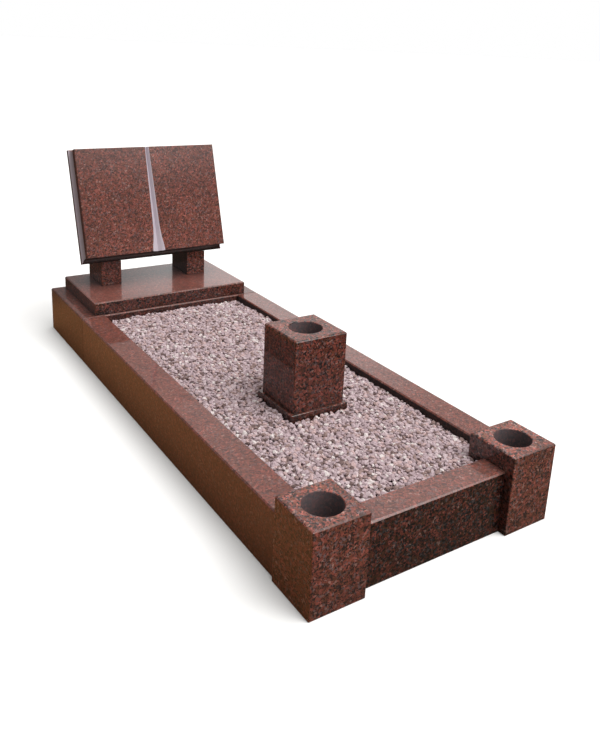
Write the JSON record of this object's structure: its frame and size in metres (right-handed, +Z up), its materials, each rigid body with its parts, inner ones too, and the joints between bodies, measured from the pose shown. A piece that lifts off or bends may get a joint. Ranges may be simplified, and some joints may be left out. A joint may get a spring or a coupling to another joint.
{
  "type": "book headstone with kerbs",
  "caption": "Open granite book leaning on two pillars and a base, at the head of a kerb set with corner vase posts, a vase block and a bed of chippings.",
  "frame": {"origin": "at ground level, in the middle of the set's length and width", "axes": "+X to the right seen from the foot, +Y from the foot towards the headstone, +Z up"},
  "size_m": [0.778, 2.005, 0.7822],
  "materials": {
    "granite": "polished dark red-brown granite, medium grain; gloss_plastic stands in for polished stone",
    "granite_book": "polished red granite with the gutter between the pages honed pale; gloss_plastic stands in for polished stone",
    "chippings": "loose pale pink and grey crushed granite chippings; matte_plastic stands in for rough stone"
  },
  "bodies": {
    "root": {"head_slab": "granite", "kerb_left": "granite", "kerb_right": "granite", "kerb_foot": "granite", "vase_post_left": "granite", "vase_post_right": "granite", "chippings": "chippings", "vase_plate": "granite", "vase_block": "granite", "base": "granite", "pillar_left": "granite", "pillar_right": "granite", "book": "granite_book"}
  },
  "joints": []
}
